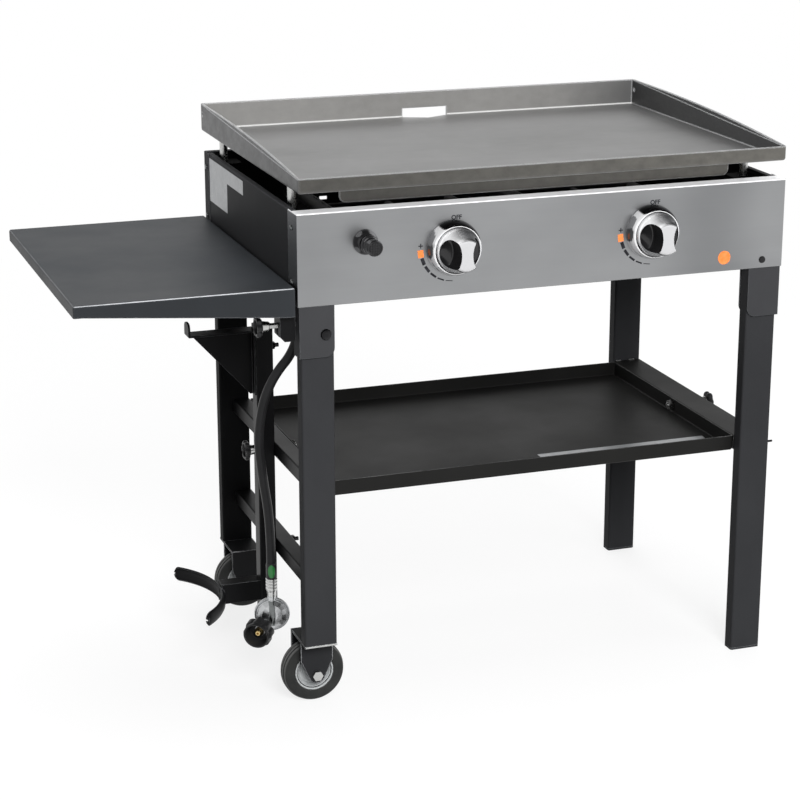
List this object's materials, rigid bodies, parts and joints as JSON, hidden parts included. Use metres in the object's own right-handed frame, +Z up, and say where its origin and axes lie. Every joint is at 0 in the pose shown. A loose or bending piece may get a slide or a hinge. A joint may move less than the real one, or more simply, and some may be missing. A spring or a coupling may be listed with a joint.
{
  "type": "outdoor gas griddle station",
  "caption": "Outdoor gas griddle on tubular legs, with a steel cooking plate, burner box, side work shelf, bottom shelf, gas bottle hook and casters.",
  "frame": {"origin": "on the floor, in the middle of the overall box measured without the gas hose and its fittings", "axes": "+X to the right seen from the front, +Y from the front to the rear, +Z up"},
  "size_m": [1.0204, 0.6076, 0.772],
  "materials": {
    "panel_steel": "brushed",
    "dark_powder_coat": "satin",
    "cooking_steel": "bare rolled steel, matte",
    "chrome": "polished",
    "zinc_steel": "zinc plated",
    "bare_steel": "mill finish",
    "black_plastic": "matte",
    "grey_plastic": "satin",
    "green_plastic": "satin",
    "brass": "machined",
    "die_cast": "die cast, grey",
    "ceramic": "glazed",
    "hose_rubber": "matte",
    "tyre_rubber": "matte"
  },
  "bodies": {
    "stand": {"control_panel": "panel_steel", "rear_panel": "dark_powder_coat", "side_panels": "dark_powder_coat", "heat_baffle": "bare_steel", "fire_pan": "bare_steel", "plate_seats": "dark_powder_coat", "panel_plug": "black_plastic", "cup_bracket": "dark_powder_coat", "leg_sleeves": "dark_powder_coat", "left_legs": "dark_powder_coat", "right_legs": "dark_powder_coat", "pivot_bolts": "zinc_steel", "tube_caps": "black_plastic", "leg_hook": "zinc_steel", "left_cross_bars": "dark_powder_coat", "right_cross_bar": "dark_powder_coat", "bottom_shelf": "dark_powder_coat", "weld_nuts": "zinc_steel", "tank_bar": "dark_powder_coat", "tank_hook": "dark_powder_coat", "tank_cradle": "dark_powder_coat", "caster_brackets": "dark_powder_coat", "axle_bolts": "zinc_steel", "knob_bezels": "chrome", "gas_valves": "die_cast", "burners": "bare_steel", "burner_rails": "bare_steel", "manifold": "bare_steel", "manifold_saddles": "bare_steel", "gas_inlet": "brass", "igniter_bezel": "chrome", "igniter_body": "black_plastic", "electrodes": "ceramic", "gas_hose": "hose_rubber", "hose_label": "green_plastic", "hose_crimp": "zinc_steel", "regulator": "die_cast", "gas_nipple": "brass"},
    "griddle": {"griddle_plate": "cooking_steel", "plate_rib": "cooking_steel", "plate_pegs": "cooking_steel"},
    "grease_drawer": {"grease_cup": "dark_powder_coat"},
    "left_collar": {"valve_collar_left": "brass"},
    "left_knob": {"burner_knob_left": "chrome", "valve_stem_left": "brass"},
    "right_collar": {"valve_collar_right": "brass"},
    "right_knob": {"burner_knob_right": "chrome", "valve_stem_right": "brass"},
    "igniter": {"igniter_button": "black_plastic"},
    "front_wheel": {"wheel_rim_front": "grey_plastic", "tyre_front": "tyre_rubber"},
    "rear_wheel": {"wheel_rim_rear": "grey_plastic", "tyre_rear": "tyre_rubber"},
    "work_shelf": {"side_shelf": "dark_powder_coat", "shelf_brackets": "dark_powder_coat"},
    "left_shelf_knob": {"shelf_knob_left": "black_plastic"},
    "right_shelf_knob": {"shelf_knob_right": "black_plastic"},
    "front_side_knob": {"side_knob_front": "black_plastic"},
    "rear_side_knob": {"side_knob_rear": "black_plastic"},
    "bottle_nut": {"coupling_nut": "black_plastic"}
  },
  "joints": [
    {"name": "griddle_lift", "type": "slide", "parent": "stand", "child": "griddle", "axis": [0, 0, 1], "range_m": [0, 0.06]},
    {"name": "grease_cup_slide", "type": "slide", "parent": "stand", "child": "grease_drawer", "axis": [0, 1, 0], "range_m": [0, 0.09]},
    {"name": "igniter_push", "type": "slide", "parent": "stand", "child": "igniter", "axis": [0, 1, 0], "range_m": [0, 0.004], "stiffness_N_per_m": 800, "springref_m": -0.003},
    {"name": "side_shelf_lift", "type": "slide", "parent": "stand", "child": "work_shelf", "axis": [0, 0, 1], "range_m": [0, 0.04]},
    {"name": "left_knob_push", "type": "slide", "parent": "stand", "child": "left_collar", "axis": [0, 1, 0], "range_m": [0, 0.003], "stiffness_N_per_m": 1200, "springref_m": -0.003},
    {"name": "left_knob_turn", "type": "hinge", "parent": "left_collar", "child": "left_knob", "pos_m": [0.00235, -0.25575, 0.645], "axis": [0, -1, 0], "range_deg": [0, 180]},
    {"name": "right_knob_push", "type": "slide", "parent": "stand", "child": "right_collar", "axis": [0, 1, 0], "range_m": [0, 0.003], "stiffness_N_per_m": 1200, "springref_m": -0.003},
    {"name": "right_knob_turn", "type": "hinge", "parent": "right_collar", "child": "right_knob", "pos_m": [0.29235, -0.25575, 0.645], "axis": [0, -1, 0], "range_deg": [0, 180]},
    {"name": "front_wheel_roll", "type": "hinge", "parent": "stand", "child": "front_wheel", "pos_m": [-0.18645, -0.19875, 0.0445], "axis": [0, 1, 0], "continuous": true},
    {"name": "rear_wheel_roll", "type": "hinge", "parent": "stand", "child": "rear_wheel", "pos_m": [-0.18645, 0.16725, 0.0445], "axis": [0, 1, 0], "continuous": true},
    {"name": "left_shelf_knob_turn", "type": "hinge", "parent": "stand", "child": "left_shelf_knob", "pos_m": [-0.21345, -0.02425, 0.3165], "axis": [-1, 0, 0], "continuous": true},
    {"name": "right_shelf_knob_turn", "type": "hinge", "parent": "stand", "child": "right_shelf_knob", "pos_m": [0.49215, -0.02425, 0.3165], "axis": [1, 0, 0], "continuous": true},
    {"name": "front_side_knob_turn", "type": "hinge", "parent": "stand", "child": "front_side_knob", "pos_m": [-0.23565, -0.22475, 0.553], "axis": [-1, 0, 0], "continuous": true},
    {"name": "rear_side_knob_turn", "type": "hinge", "parent": "stand", "child": "rear_side_knob", "pos_m": [-0.23565, 0.19225, 0.553], "axis": [-1, 0, 0], "continuous": true},
    {"name": "bottle_nut_turn", "type": "hinge", "parent": "stand", "child": "bottle_nut", "pos_m": [-0.24625, -0.15745, 0.0982], "axis": [-0.5733, -0.8124, -0.1061], "continuous": true}
  ]
}
